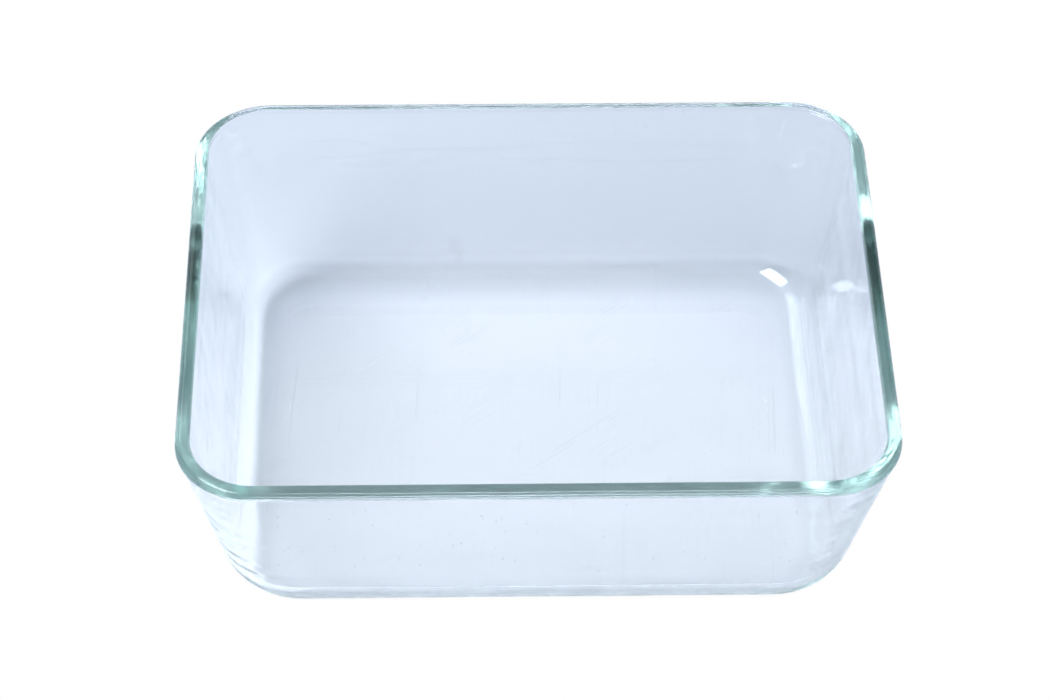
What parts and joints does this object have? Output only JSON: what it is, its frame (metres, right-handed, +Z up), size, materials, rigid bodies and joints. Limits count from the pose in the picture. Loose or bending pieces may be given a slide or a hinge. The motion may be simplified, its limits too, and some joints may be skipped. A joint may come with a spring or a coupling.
{
  "type": "rectangular glass baking dish",
  "caption": "Rectangular dish of clear pressed glass, open at the top, with leaning walls, rounded corners and a thick polished rim.",
  "frame": {"origin": "centre of the underside, on the plane that the dish stands on", "axes": "+Z up out of the open top, +X along the long side"},
  "size_m": [0.21, 0.17, 0.0653],
  "materials": {
    "glass": "clear pressed glass, fire-polished, blue-green through its edges"
  },
  "bodies": {
    "root": {"glass_dish": "glass"}
  },
  "joints": []
}
